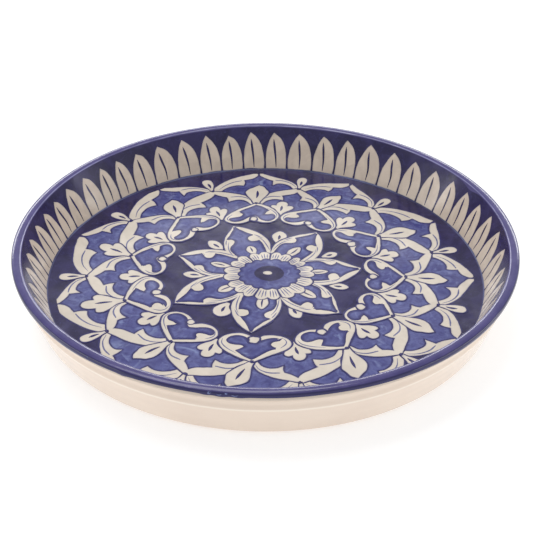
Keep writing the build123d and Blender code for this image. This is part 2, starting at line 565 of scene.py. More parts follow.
ROUND_HEART = [(0, 86.4, K), (-3, 84.2), (-6.8, 81.4), (-11.2, 77.8), (-15.6, 73.4), (-17.8, 68.8),
               (-17.4, 65), (-14.2, 62), (-9.4, 60.9), (-4.6, 62), (-0.6, 65.6, K), (3.4, 62.8), (7.8, 61.2),
               (12.8, 61.2), (17, 63.2), (19.3, 66.8), (19, 71), (16, 76), (11.2, 80.2), (5.4, 83.8)]
ROUND_HEART_FILL = [(0.2, 84, K), (-3.6, 80.9), (-7.6, 77.6), (-11.2, 74.6, K), (-8.4, 74), (-6.8, 72),
                    (-8.2, 69.6), (-11.4, 68.4), (-14.4, 67.6), (-15, 65.6), (-12.8, 63.4), (-9, 63.4),
                    (-5.6, 65.4), (-2.8, 68.2), (0.4, 69.8), (3.4, 68), (5.8, 64.8), (9.2, 62.9),
                    (13.6, 63.1), (16.8, 65.8), (16.9, 69), (14.4, 71.2), (11, 70.8), (7.8, 71.2, K),
                    (9, 73.8), (11.4, 76, K), (8, 78.9), (4, 81.7)]
SHARP_HEART = [(0, 86.4, K), (-3.8, 83.6), (-8.4, 80), (-13.6, 76.2), (-17.4, 72.4), (-18.8, 68.6),
               (-17.4, 64.6), (-13.8, 62), (-8.8, 60.9), (-4, 61.8), (-0.4, 65.4, K), (3.2, 62.8),
               (7.4, 60.8), (12.4, 60.8), (16.9, 63), (19.6, 67), (19.2, 71.6), (15.8, 77), (10, 81.4),
               (4, 84.6)]
SHARP_HEART_FILL = [(0.4, 84, K), (-2.4, 81.6), (-5.8, 77.8), (-9.6, 74.4), (-13, 73, K), (-10, 72),
                    (-8.4, 69.8), (-9.4, 67.2), (-12.6, 65.6), (-13.6, 64.4, K), (-10.2, 63.6), (-6.6, 64.4),
                    (-3.8, 66.2), (-1.4, 68.2), (1.2, 68.6), (3.6, 67), (5, 64.8), (7.6, 63), (11, 62.8),
                    (14.2, 64.4), (15.5, 67.4), (14, 70), (10.6, 71), (7.4, 71.2), (5.2, 72.8, K),
                    (7.2, 74.8), (10, 76.8, K), (7, 79.4), (3.6, 82.2)]
HEART_VEINS = [[(-13.8, 72.4), (-16, 69), (-16, 65.8), (-13.6, 62.8)],
               [(18, 66), (17.9, 70.4), (14.6, 75.2), (9, 79.6)]]
HEART_LEFT, HEART_RIGHT = 19.5, 20.8   # how far a drawn heart reaches to each side
HEART_TOP, HEART_MIDDLE = 86, 68       # where it has its tip, and where it is widest
HEART_LEAN = 0.33                      # share of an uneven gap that it leans over by
HEART_BEAD = (0.8, 66.2)
HEART_BEAD_SIZE = 2.2
SHARP_HEARTS = (5, 6, 8)

PETAL_FOOT, PETAL_SHOULDER, PETAL_TIP = 20, 45, 59
PETAL_NARROWING = 0.97
PETAL = [(-11.5, 21, K), (-14, 30), (-13.8, 37), (-11.8, 43.5), (-8, 49.6), (-3.6, 55), (0, 59.6, K),
         (5.4, 56), (10, 51), (13.6, 45.2), (15.8, 38), (16, 32), (14.2, 27), (11.5, 21, K)]
PETAL_FILL = [(0.2, 60.2, K), (2.6, 54.2), (5.4, 49.4), (8.8, 45.2, K), (5.8, 44.6), (3.8, 42), (4.6, 38.8),
              (7.6, 37.6), (10.6, 37.8, K), (11, 32.4), (10.2, 27), (9, 20, K), (-8.6, 20, K),
              (-10.4, 28), (-10.6, 33.6), (-9.2, 36.8), (-6.6, 38.8), (-4.8, 41.6), (-5.8, 44.4),
              (-8.8, 45.6, K), (-5.2, 49.4), (-2.5, 53.2), (-0.6, 56.4)]
# How much thicker than drawn each petal's left band is, in mm.
PETAL_LEFT_BANDS = [0, 1.2, 1.8, -0.3, 0.3, 0.8, 1.8]
PETAL_VEINS = [[(12.4, 24.6), (13.2, 31), (12.8, 37.4), (10.8, 42.2)],
               [(-12, 25.4), (-12, 32), (-11.2, 37.4), (-8.8, 42.4)],
               [(-9.6, 44.8), (-10.8, 42.6), (-12.2, 39)], [(9.4, 45.2), (11.2, 43.4), (13.4, 39)]]
# Where the painter put each motif, as (degrees, radius), clockwise from the back.
HEART_TIPS = [(94.2, 85.5), (66, 85), (30.8, 84.5), (-2.3, 85.5), (-31, 86), (-58.8, 87.5),
              (-95, 87.5), (-127.8, 87), (-161.2, 88), (-193.8, 86.5), (-229.3, 88)]
ARCH_FEET = [(109.5, 107.7), (77.7, 107), (47.5, 106.5), (13, 107.3), (-18.2, 107), (-47, 110.3),
             (-80, 107), (-114, 107.2), (-147, 108), (-178.7, 109.2), (-215.4, 108)]
ARCH_PEAKS = [(92.2, 128.3), (62.3, 126.7), (29.1, 127.1), (-1.9, 128), (-31, 130), (-62, 129.4),
              (-97, 129.2), (-130.5, 129.4), (-165.2, 129.6), (-200.3, 127.9), (-234.8, 129.6)]
HEART_GAPS = [(113.8, 70), (82.2, 70.7), (49.2, 70.3), (15.2, 69), (-17.4, 69.8), (-45.6, 73.2),
              (-77.3, 71), (-112.3, 71.7), (-145, 71.9), (-178, 71.6), (-210.9, 71.5)]
# Each arch's palmette: its drawing, its width, and its tip in a frame that faces the heart's tip.
PALMETTES = [(KITE, 15.5, (3, 110.5)), (KITE, 10.5, (7, 108.5)), (KITE, 13.5, (6, 110)),
             (KITE, 12, (2, 111)), (KITE, 11.5, (1, 113.5)), (KITE, 14.5, (9, 113.5)),
             (KITE, 13, (10.5, 111)), (KITE, 11.5, (6, 112)), (TREFOIL, 18, (3, 113.5)),
             (TREFOIL, 15, (7, 109.5)), (KITE, 14, (10, 110))]
# Between the petals: angle, root, tip and width.
SEEDLINGS = [(84, (4, 36), (4.5, 50), 9), (31.5, (2, 40), (3.5, 50.5), 6.5),
             (-18.7, (-0.5, 40), (-2, 52), 6), (-69.6, (-2, 36), (-2.5, 50), 7.5),
             (-122.9, (2, 38), (-1, 52), 11), (-174.2, (1.5, 37), (5, 50), 7),
             (135.6, (1, 38), (1.5, 52), 7.5)]
# Inside the petals: angle, where it leaves the ruff, where it ends, and width.
PETAL_LEAVES = [(107.8, 22, 33, 6.5), (54.2, 22, 37, 6.5), (3.6, 24, 38.5, 4.4), (-41, 22, 39.5, 6.5),
                (-93.5, 22, 37.5, 6.8), (-146, 21, 34, 6.8), (160.5, 22, 35.8, 5.4)]
PETAL_TIPS = [(111, 58.8), (55.5, 57.5), (6, 58.5), (-43.5, 59), (-97.5, 60.5), (-149.8, 61.5),
              (-200.5, 57.2)]
SECTORS = range(len(HEART_TIPS))


def after(places, index):
    """The next place clockwise."""
    return places[(index + 1) % len(places)]


def leaves(key, left, right, middles):
    """One drawing of a left and a right leaf for every arch, from its feet to these middles."""
    drawn = []
    for i in SECTORS:
        for leaf, foot in ((left, ARCH_FEET[i]), (right, after(ARCH_FEET, i))):
            drawn.append(stretched(leaf[key], leaf["ends"], polar(*foot), polar(*middles[i])))
    return drawn


def arch_leaves(key):
    return leaves(key, ARCH_LEAF_LEFT, ARCH_LEAF_RIGHT, ARCH_PEAKS)


def inner_leaves(key):
    return leaves(key, INNER_LEAF_LEFT, INNER_LEAF_RIGHT, HEART_TIPS)


def bud(shape, width, root, top, midline=MIDLINE):
    """A bud of this width drawn from root to top, and its midline."""
    drawn_width = max(p[0] for p in shape) - min(p[0] for p in shape)
    wider = width / drawn_width * BUD_HEIGHT / math.dist(root, top)
    blade = [(p[0] * wider,) + tuple(p[1:]) for p in shape]
    return stretched(blade, BUD_ENDS, root, top), stretched(midline, BUD_ENDS, root, top)


def buds():
    """Palmettes in the arches, small palmettes between the hearts, buds outside, and buds between the
    petals, each with its midline."""
    drawn = []
    for i in SECTORS:
        shape, width, tip = PALMETTES[i]
        root = HEART_TIPS[i]
        drawn.append(bud(shape, width, polar(*root), facing(root[0], [tip])[0]))
        for (shape, width, length), (angle, radius) in ((GAP_BUD, HEART_GAPS[i]), (OUTER_BUD, ARCH_FEET[i])):
            drawn.append(bud(shape, width, polar(angle, radius), polar(angle, radius + length)))
    return drawn + [bud(SEED, width, *facing(angle, ends)) for angle, *ends, width in SEEDLINGS]


def petal_leaves():
    """The small leaf that comes out of the ruff in each petal, with its midrib."""
    return [bud(SEED, width, polar(angle, low), polar(angle, high), LEAF_MIDRIB)
            for angle, low, high, width in PETAL_LEAVES]


def heart_drawing(points, i):
    """A drawing of the heart, fitted between its tip and the gaps on both sides of it."""
    angle, radius = HEART_TIPS[i]
    left, right = (gap_radius * abs(math.sin(math.radians(gap_angle - angle)))
                   for gap_angle, gap_radius in (HEART_GAPS[i], after(HEART_GAPS, i)))
    lean = HEART_LEAN * (right - left)
    fitted = []
    for x, y, *corner in points:
        across = x * ((left + lean) / HEART_LEFT if x < 0 else (right - lean) / HEART_RIGHT)
        leant = lean * (HEART_TOP - y) / (HEART_TOP - HEART_MIDDLE)
        fitted.append((across + leant, y - HEART_TOP + radius, *corner))
    return facing(angle, fitted)


def hearts(round_drawing, sharp_drawing):
    return on_hand([heart_drawing(sharp_drawing if i in SHARP_HEARTS else round_drawing, i)
                    for i in SECTORS])


def petal_drawing(points, i):
    """A drawing of the petal, fitted to its tip."""
    angle, tip = PETAL_TIPS[i]
    reach = (tip - PETAL_FOOT) / (PETAL_TIP - PETAL_FOOT)
    return facing(angle, [(PETAL_NARROWING * x, PETAL_FOOT + (y - PETAL_FOOT) * reach, *corner)
                          for x, y, *corner in points])


def petal_fill_drawing(i):
    """The wash in a petal, kept away from the upper left edge by that petal's own band."""
    band = PETAL_LEFT_BANDS[i] / (PETAL_TIP - PETAL_SHOULDER)
    return petal_drawing([(x + band * (PETAL_TIP - y) if x < 0 and y > PETAL_SHOULDER else x, y, *corner)
                          for x, y, *corner in PETAL_FILL], i)


def by_hand(line):
    return anticlockwise(unsteady(line))


def on_hand(drawings):
    """Drawings as finished, slightly unsteady, anticlockwise outlines."""
    return [by_hand(outline(drawing)) for drawing in drawings]


def inked(outlines, width):
    """The outlines grown by this width, or drawn in where it is negative."""
    return [spread(line, width) for line in outlines]


def veins(lines, width, **shape):
    return [stroke(unsteady([p[:2] for p in line]), width, **shape) for line in lines]


# ---------------- materials
def srgb(red, green, blue):
    """A colour given as it looks, 0 to 255, in the renderer's own scale."""
    linear = [((c / 255 + 0.055) / 1.055) ** 2.4 if c > 10 else c / 255 / 12.92 for c in (red, green, blue)]
    return (*linear, 1.0)


class Recipe:
    """A material, built one node at a time."""

    def __init__(self, name):
        self.material = bpy.data.materials.new(name)
        self.material.use_nodes = True
        self.tree = self.material.node_tree
        self.shader = self.tree.nodes["Principled BSDF"]
        self.place = self.node("TexCoord", "Object", {})

    def feed(self, socket, value):
        if isinstance(value, bpy.types.NodeSocket):
            self.tree.links.new(value, socket)
        else:
            socket.default_value = value

    def node(self, kind, output, inputs, **settings):
        """This output of a new node, with these settings and its inputs fed."""
        node = self.tree.nodes.new("ShaderNode" + kind)
        for name, value in settings.items():
            setattr(node, name, value)
        for name, value in inputs.items():
            self.feed(node.inputs[name], value)
        return node.outputs[output]

    def noise(self, size, detail=3.0, roughness=0.5, distortion=0.0, stretch=(1, 1, 1)):
        """Noise with features of about size millimetres."""
        place = self.node("Mapping", "Vector", {"Scale": stretch, "Vector": self.place})
        return self.node("TexNoise", "Fac", {"Vector": place, "Scale": 1 / (size * MM), "Detail": detail,
                                             "Roughness": roughness, "Distortion": distortion})

    def edge(self):
        return self.node("Attribute", "Fac", {}, attribute_name="edge")

    def remap(self, value, low, high, to_low=0.0, to_high=1.0):
        inputs = {"From Min": low, "From Max": high, "To Min": to_low, "To Max": to_high, "Value": value}
        return self.node("MapRange", "Result", inputs, interpolation_type="SMOOTHSTEP")

    def times(self, first, second):
        return self.node("Math", "Value", {0: first, 1: second}, operation="MULTIPLY")

    def blend(self, share, first, second):
        return self.node("Mix", "Result", {"Factor": share, "A": first, "B": second}, data_type="RGBA")

    def tint(self, colour, share, strength, shade):
        """Lays a shade over a colour, at this strength where share is 1."""
        return self.blend(self.times(share, strength), colour, srgb(*shade))

    def band(self, rise, fall, top=1.0):
        """A band along the edge attribute that rises to 1 and falls again from top."""
        return self.times(self.remap(self.edge(), *rise), self.remap(self.edge(), *fall, top, 0.0))

    def bump(self, height, depth, **under):
        """Bump of a height from 0 to 1 that stands for depth millimetres."""
        return self.node("Bump", "Normal", {"Distance": depth * MM, "Height": height, **under})

    def finish(self, colour, roughness, normal):
        for name, value in (("Base Color", colour), ("Roughness", roughness), ("Normal", normal)):
            self.feed(self.shader.inputs[name], value)
        return self.material


def glazed(recipe, colour, low=0.12, high=0.26, wave=0.05, shine=0.4):
    """The one fired glaze over every painted colour: soft waves, fine pitting, uneven gloss."""
    roughness = recipe.remap(recipe.noise(14, 3), 0.3, 0.7, low, high)
    waves = recipe.bump(recipe.noise(9, 2, 0.4), wave)
    skin = recipe.bump(recipe.noise(0.9, 2, 0.5), 0.006, Normal=waves)
    recipe.shader.inputs["IOR"].default_value = 1.52
    recipe.shader.inputs["Specular IOR Level"].default_value = shine
    return recipe.finish(colour, roughness, skin)


def ground_material():
    """Dense cobalt, brushed on thick: almost black where thick, bluer where the brush dragged, and
    paler in a line where the floor meets the wall."""
    r = Recipe("cobalt_ground_paint")
    cloud = r.remap(r.noise(16, 4, 0.6, 0.8), 0.36, 0.66)
    drag = r.remap(r.noise(3.2, 3, 0.6, 1.5), 0.5, 0.78)
    junction = WALL_RUN - CREST_RUN
    thin = r.band((junction - 0.2, junction + 0.3), (junction + 0.8, junction + 1.4))
    colour = r.blend(cloud, srgb(35, 29, 66), srgb(48, 42, 86))
    colour = r.tint(colour, drag, 0.5, (60, 56, 112))
    colour = r.tint(colour, thin, r.remap(r.noise(40, 2), 0.35, 0.65, 0.2, 0.75), (112, 118, 156))
    return glazed(r, colour, shine=0.32)


def ink_material(name, size, dark, light):
    """Ink that the brush left thicker in some places than in others."""
    r = Recipe(name)
    load = r.remap(r.noise(size, 3, 0.6), 0.3, 0.7)
    return glazed(r, r.blend(load, srgb(*dark), srgb(*light)))


def wash_material():
    """Thin cobalt wash: it pools dark along the lines, and the brush leaves pale and dark drifts."""
    r = Recipe("blue_wash_paint")
    drift = r.remap(r.noise(15, 5, 0.62, 1.4), 0.34, 0.66)
    streak = r.remap(r.noise(6.5, 4, 0.6, 2.2), 0.44, 0.70)
    pale = r.remap(r.noise(9, 4, 0.55, 1.6), 0.52, 0.74)
    watered = r.remap(r.noise(26, 4, 0.6, 1.5), 0.6, 0.74)
    colour = r.blend(drift, srgb(62, 62, 120), srgb(84, 87, 142))
    colour = r.tint(colour, streak, 0.65, (50, 48, 106))
    colour = r.tint(colour, pale, 0.7, (116, 124, 170))
    colour = r.tint(colour, watered, 0.6, (134, 146, 186))
    colour = r.blend(r.band((0.9, 1.9), (2.0, 4.2), 0.12), colour, srgb(116, 123, 172))
    pooled = r.remap(r.edge(), 0.1, 1.8, 0.8, 0.0)
    return glazed(r, r.blend(pooled, colour, srgb(42, 40, 98)))


def cream_material(name, drift_size, fleck_size, fleck_from, shades, stain_reach, stain_strength):
    """Bare cream slip under the glaze, with faint drifts and flecks, stained by thin blue at the lines.
    The shades are two of the slip, and those of the flecks and the stain."""
    r = Recipe(name)
    drift = r.remap(r.noise(drift_size, 4, 0.6, 0.6), 0.32, 0.7)
    fleck = r.remap(r.noise(fleck_size, 3, 0.6), fleck_from, 0.8)
    dark, light, flecked, stained = shades
    colour = r.tint(r.blend(drift, srgb(*dark), srgb(*light)), fleck, 0.35, flecked)
    stain = r.remap(r.edge(), 0.0, stain_reach, stain_strength, 0.0)
    return glazed(r, r.blend(stain, colour, srgb(*stained)))


def rim_material():
    """Violet blue on the lip, paler over its crest as painted sheen, with a painted highlight along its
    inner edge, and dark on its outer face.
    """
    r = Recipe("rim_blue_glaze")
    drift = r.remap(r.noise(15, 4, 0.6, 0.8), 0.34, 0.68)
    broken = r.remap(r.noise(3.0, 4, 0.6, 1.0), 0.52, 0.8)
    colour = r.blend(drift, srgb(62, 56, 107), srgb(76, 69, 120))
    # painted sheen: the top of the lip is made paler, as if lit from above
    colour = r.tint(colour, r.band((-2.6, -0.6), (0.0, 1.8)), 0.35, (92, 86, 131))
    colour = r.tint(colour, broken, 0.3, (93, 91, 136))
    # painted highlight: a pale, broken line along the inner edge of the lip
    painted_highlight_strength = r.remap(r.noise(24, 3), 0.36, 0.62, 0.25, 0.8)
    colour = r.tint(colour, r.band((-3.1, -2.7), (-2.4, -2.0)), painted_highlight_strength, (152, 150, 188))
    colour = r.blend(r.remap(r.edge(), 2.2, 3.0, 0.0, 0.9), colour, srgb(28, 24, 72))
    colour = r.tint(colour, r.remap(r.edge(), 3.4, 4.4), 0.5, (32, 30, 90))
    return glazed(r, colour, 0.08, 0.16, 0.05, 0.42)


def outside_material():
    """Warm cream glaze over pale clay, with faint drifts, thrown rings and fine specks. It is darkened
    under the lip as painted shade, and has a painted highlight along the raised line."""
    r = Recipe("cream_outside_glaze")
    drift = r.remap(r.noise(45, 3, 0.5, 0.4), 0.3, 0.7)
    rings = r.remap(r.noise(9, 3, 0.5, 0.2, (0.05, 0.05, 2.2)), 0.35, 0.7)
    speck = r.remap(r.noise(0.8, 2, 0.5), 0.73, 0.79)
    ridge = RIDGE_RUN - CREST_RUN
    colour = r.blend(drift, srgb(229, 211, 195), srgb(234, 217, 201))
    colour = r.tint(colour, rings, 0.12, (224, 206, 188))
    # painted shade: the cream just under the lip is darkened where the overhanging lip shades it
    painted_shade_under_lip = r.remap(r.edge(), LIP_LENGTH + 2, LIP_LENGTH + 10, 0.9, 0.0)
    colour = r.blend(painted_shade_under_lip, colour, srgb(178, 165, 152))
    # painted highlight: the band named thin is a pale line along the raised ridge, where it catches light
    # from above
    thin = r.band((ridge - 0.4, ridge + 0.6), (ridge + 0.8, ridge + 2.2), 0.7)
    colour = r.blend(thin, colour, srgb(246, 236, 222))
    return glazed(r, r.tint(colour, speck, 0.45, (196, 174, 152)), 0.12, 0.24, 0.03)


def clay_material():
    r = Recipe("bare_clay")
    grain = r.noise(0.5, 3, 0.6)
    drift = r.remap(r.noise(9, 4, 0.6), 0.3, 0.7)
    colour = r.blend(drift, srgb(206, 172, 138), srgb(222, 192, 160))
    colour = r.blend(r.remap(grain, 0.55, 0.75, 0, 0.5), colour, srgb(176, 140, 108))
    roughness = r.remap(grain, 0.3, 0.7, 0.72, 0.9)
    return r.finish(colour, roughness, r.bump(grain, 0.08))


def slip_material():
    r = Recipe("white_slip_coat")
    grain = r.noise(0.7, 3, 0.6)
    drift = r.remap(r.noise(11, 3, 0.5), 0.3, 0.7)
    colour = r.blend(drift, srgb(228, 218, 204), srgb(238, 230, 218))
    return r.finish(colour, r.remap(grain, 0.3, 0.7, 0.6, 0.8), r.bump(grain, 0.03))


GROUND = ground_material()
INK = ink_material("cobalt_ink_paint", 2.5, (38, 33, 82), (52, 48, 104))
VEIN = ink_material("pale_ink_paint", 2.0, (84, 86, 128), (116, 116, 148))
THIN_BLUE = ink_material("thin_lip_blue_paint", 2.0, (72, 80, 134), (126, 138, 176))
WASH = wash_material()
FLOOR_SHADES = [(206, 195, 181), (216, 205, 191), (194, 182, 171), (150, 148, 164)]
CREAM = cream_material("cream_slip_paint", 12, 1.6, 0.6, FLOOR_SHADES, 0.9, 0.4)
# On the steep wall the slip is given darker, duller shades than on the floor.
WALL_SHADES = [(200, 184, 168), (213, 197, 180), (178, 165, 154), (138, 134, 150)]
WALL_CREAM = cream_material("cream_slip_on_wall_paint", 10, 1.8, 0.58, WALL_SHADES, 0.8, 0.35)
RIM = rim_material()
OUTSIDE = outside_material()
CLAY = clay_material()
SLIP = slip_material()


# ---------------- the plate itself
def clay_section():
    """Half section of the clay: the outline taken in by the coats, and the bare foot at full size."""
    fine = np.concatenate([np.linspace(0, WALL_RUN - 3, 30), np.arange(WALL_RUN - 2.8, BARE_RUN, 0.5)])
    outer = np.stack(section_at(fine), axis=1)
    depth = np.where(fine < LIP_RUN, COAT, GLAZE)
    along = np.gradient(outer, axis=0)
    along /= np.linalg.norm(along, axis=1)[:, None]
    inner = outer + np.stack([along[:, 1], -along[:, 0]], axis=1) * depth[:, None]
    gap = np.linalg.norm(inner[:, None] - outer[None], axis=2).min(axis=1)
    inner = inner[(gap > depth - 0.03) & (inner[:, 0] >= 0)]
    foot = OUTLINE[(RUNS > BARE_RUN) & (RUNS < BASE_RUN)]
    base = [section_at(BASE_RUN), (RECESS[0] - 1.2, RECESS[1] + GLAZE), (0, RECESS[1] + GLAZE)]
    return np.concatenate([inner, [section_at(BARE_RUN)], foot, base])


def clay_body():
    section = clay_section()
    radius, height = section[1:-1].T[..., None]
    grid = thrown(ANGLES, radius, height)
    poles = np.array([(0, 0, section[0, 1]), (0, 0, section[-1, 1])]) * MM
    vertices = np.concatenate([grid.reshape(-1, 3), poles])
    add_piece("clay_foot_and_body", vertices, capped_faces(len(grid)), CLAY, replaced=["clay_body"])


def drip(angle, at, width, length):
    """How far one run of the lip's glaze reaches below its edge."""
    away = np.degrees(np.angle(np.exp(1j * (angle - math.radians(at)))))
    return length * np.exp(-(away / width) ** 2)


# The runs of the lip's glaze below its outer edge: angle and width in degrees, and length in mm.
# The last two are the long swells at the front left and the front right.
LIP_DRIPS = [(-101.5, 1.0, 0.6), (-98.5, 1.3, 0.9), (-95, 1.4, 0.7), (-119, 1.1, 0.7),
             (-147, 27, 2.4), (-36, 27, 2.2)]
INNER_DRIP = (24, 2.6, 1.7)
LIP_EDGE_WAVER, INNER_EDGE_WAVER = 0.5, 0.35
lip_edge = OUTSIDE_RUN + waver(ANGLES, LIP_EDGE_WAVER, 5, (3, 7, 13, 22))
for drip_shape in LIP_DRIPS:
    lip_edge = lip_edge + drip(ANGLES, *drip_shape)
inner_edge = LIP_RUN + waver(ANGLES, INNER_EDGE_WAVER, 7, (4, 9, 17, 26)) - drip(ANGLES, *INNER_DRIP)

clay_body()
disc("floor_ground_glaze", 0.0, WALL_RUN, 24, GROUND, ["floor_glaze"])
coat("wall_ground_glaze", np.full(TURNS, WALL_RUN), inner_edge, 26, GROUND, ["wall_glaze"])
coat("lip_glaze", inner_edge, lip_edge, 26, RIM, ["rim_glaze"])
coat("outside_cream_glaze", lip_edge, np.full(TURNS, BARE_RUN), 64, OUTSIDE, ["outer_glaze"])
disc("base_cream_glaze", END_RUN, BASE_RUN, 16, OUTSIDE, ["base_glaze"])
frame["nodes"]["inner_slip"].data.materials.clear()
frame["nodes"]["inner_slip"].data.materials.append(SLIP)


# ---------------- the painted floor
INK_WIDTH = 0.85
HEART_INK_WIDTH = 1.0
BEAD_INK_WIDTH = 1.25
RUFF_INK_WIDTH = 0.7
BUTTON_INK_WIDTH = 0.5
MIDLINE_WIDTH = 1.8
MIDRIB_WIDTH = 1.1
HEART_VEIN_WIDTH = 0.7
PETAL_VEIN_WIDTH = 0.75
FOLD_WIDTH = 0.7
HEART_FILL_INSET = 0.5    # how far the washes stay inside their drawings
PETAL_FILL_INSET = 0.4
KNOT_SIZE = 1.1
FINE = 1.2          # spacing of the points inside a small shape
LEAF_VEIN = {"width": 1.0, "start": 0.2, "end": 0.6, "widest": 0.8}


def star_outline():
    """The outer edge of the washed field, along the middle of the arch leaves."""
    points = []
    for spine in arch_leaves("spine"):
        points += smooth_line(spine, 2)[:-1]
    return anticlockwise(points)


def ring_hole():
    """The inner edge of the washed field, hidden under the hearts."""
    return anticlockwise([polar(*gap) for gap in HEART_GAPS])[::-1]


def bordered(name, outlines, layer, ink_width=INK_WIDTH):
    """A cream motif with the ink line round it."""
    painting(name + "_ink", inked(outlines, ink_width), layer, INK)
    painting(name + "_slip", outlines, layer + 1, CREAM, FINE)


def washed(name, outlines, layer):
    """A blue wash with the ink line round it."""
    painting(name + "_ink", inked(outlines, INK_WIDTH), layer, INK)
    painting(name + "_wash", outlines, layer + 1, WASH, FINE)


def heart_beads():
    beads = []
    for i in SECTORS:
        wander = noise.noise_vector(Vector((i * 2.7, 4.1, 0)))
        bead_at = (HEART_BEAD[0] + 2.5 * wander.x, HEART_BEAD[1] + 1.5 * wander.y)
        beads.append(blot(*heart_drawing([bead_at], i)[0], HEART_BEAD_SIZE * (1 + 0.5 * wander.z), i))
    return beads


arch = on_hand(arch_leaves("blade"))
inner = on_hand(inner_leaves("blade"))
bud_blades, bud_midlines = zip(*buds())
bud_outlines = on_hand(bud_blades)
heart = hearts(ROUND_HEART, SHARP_HEART)
heart_fill = inked(hearts(ROUND_HEART_FILL, SHARP_HEART_FILL), -HEART_FILL_INSET)
heart_lines = [heart_drawing(line, i) for line in HEART_VEINS for i in SECTORS]
petals = range(len(PETAL_TIPS))
petal_fill = inked(on_hand([petal_fill_drawing(i) for i in petals]), -PETAL_FILL_INSET)
petal_lines = [petal_drawing(line, i) for line in PETAL_VEINS for i in petals]
leaf_blades, leaf_midribs = zip(*petal_leaves())
knots = [blot(*polar(*place), KNOT_SIZE, k) for k, place in enumerate(HEART_TIPS + ARCH_FEET)]

painting("field_wash", [star_outline(), ring_hole()], 1, WASH, 1.5, near=arch + inner + bud_outlines + heart)
bordered("arch_leaf", arch, 2)
painting("arch_leaf_veins", veins(arch_leaves("vein"), **LEAF_VEIN), 4, VEIN)
bordered("inner_leaf", inner, 5)
painting("inner_leaf_veins", veins(inner_leaves("vein"), **LEAF_VEIN), 7, VEIN)
bordered("bud", bud_outlines, 8)
painting("bud_midlines", veins(bud_midlines, MIDLINE_WIDTH, widest=0.6), 10, INK)
bordered("heart", heart, 11, HEART_INK_WIDTH)
washed("heart_fill", heart_fill, 13)
painting("heart_veins", veins(heart_lines, HEART_VEIN_WIDTH), 13, VEIN)
bordered("petal", on_hand([petal_drawing(PETAL, i) for i in petals]), 11, HEART_INK_WIDTH)
washed("petal_fill", petal_fill, 13)
painting("petal_veins", veins(petal_lines, PETAL_VEIN_WIDTH), 13, VEIN)
bordered("petal_leaf", on_hand(leaf_blades), 15)
painting("petal_leaf_midribs", veins(leaf_midribs, MIDRIB_WIDTH), 17, INK)
bordered("heart_bead", heart_beads(), 15, BEAD_INK_WIDTH)
painting("knots", knots, 17, INK)

MIDDLE = (2, -0.6)
# The dark lines between the fans of the ruff, in degrees clockwise, and how far each fan reaches.
RUFF_EDGES = [160, 124, 87, 50, 22, -9, -33, -73, -111, -162]
RUFF_REACH = [26.2, 24.4, 24.4, 25.6, 27.2, 27.6, 27.6, 26.6, 26.4, 27]
RUFF_ROOT = 15
RUFF_GAP = 1.7
FOLD_START = 2.6    # how far outside the ruff's root its folds begin
SCALLOP = 16        # degrees taken up by one scallop of a fan, about
SCALLOP_NOTCH = 2.0
# The folds of each scallop: share of its width, and how far below the fan's reach they end.
FOLDS = [(0.22, 2.2), (0.48, 1.2), (0.76, 2.0)]


def on_ruff(degrees, radius):
    x, y = polar(degrees, radius)
    return x + MIDDLE[0], y + MIDDLE[1]


def ruff():
    """The scalloped fans round the button, and the fine lines that fold them."""
    fans, folds = [], []
    for edge, next_edge, reach in zip(RUFF_EDGES, RUFF_EDGES[1:] + [RUFF_EDGES[0] - 360], RUFF_REACH):
        start, stop = edge - RUFF_GAP, next_edge + RUFF_GAP
        notch = reach - SCALLOP_NOTCH
        scallops = round((start - stop) / SCALLOP)
        step = (start - stop) / scallops
        fan = [(*on_ruff(start, RUFF_ROOT), K)]
        for n in range(scallops):
            first = start - n * step
            fan += [(*on_ruff(first, notch), K), on_ruff(first - 0.25 * step, reach),
                    on_ruff(first - 0.5 * step, reach + 0.5), on_ruff(first - 0.75 * step, reach)]
            for share, short in FOLDS:
                line = first - share * step
                folds.append([on_ruff(line, RUFF_ROOT + FOLD_START), on_ruff(line, reach - short)])
        fans.append(fan + [(*on_ruff(stop, notch), K), (*on_ruff(stop, RUFF_ROOT), K)])
    return fans, folds


def oval(x, y, radius_x, radius_y, count=40, lobes=0, depth=0.0):
    """An oval outline, scalloped by depth where it has lobes."""
    points = []
    for k in range(count):
        angle = k * 2 * math.pi / count
        reach = 1 + depth * abs(math.sin(lobes * angle / 2))
        points.append((x + radius_x * reach * math.cos(angle), y + radius_y * reach * math.sin(angle)))
    return points


BUTTON_LOBES = 17
ruff_fans, ruff_folds = ruff()
bordered("ruff", on_hand(ruff_fans), 18, RUFF_INK_WIDTH)
painting("ruff_lines", veins(ruff_folds, FOLD_WIDTH), 20, VEIN)
button = by_hand(oval(2.2, -0.5, 17.3, 15.3, 12 * BUTTON_LOBES, BUTTON_LOBES, 0.1))
painting("button_ink", inked([button], BUTTON_INK_WIDTH), 21, INK)
painting("button_wash", [button], 22, WASH, FINE)
painting("eye_ink", [by_hand(oval(2.3, 0.2, 8.9, 8.5))], 23, GROUND, 1.5)
painting("eye_dot", [by_hand(oval(1.4, 0.6, 2.8, 2))], 24, CREAM)

# ---------------- the painted wall
LAPPET_TIPS = [197.5, 191, 184.5, 178.5, 172.5, 165.5, 160.5, 153.5, 146, 140, 134.5, 128, 120.5, 113,
               106.5, 100, 93.5, 87, 80, 72, 66, 59, 50.5, 44.5, 36.5, 30, 23.5, 17, 10.5, 3.5, -5, -12.5,
               -18.5]
HIDDEN_LAPPETS = 21
LAPPET_GAP = 1.2
LAPPET_HEIGHT = 25.8
LAPPET_RIB_WIDTH = 1.5


def lappet_places():
    """Every lappet's tip angle, going clockwise round the wall, in degrees."""
    return LAPPET_TIPS + list(np.linspace(LAPPET_TIPS[-1], LAPPET_TIPS[0] - 360, HIDDEN_LAPPETS + 2)[1:-1])


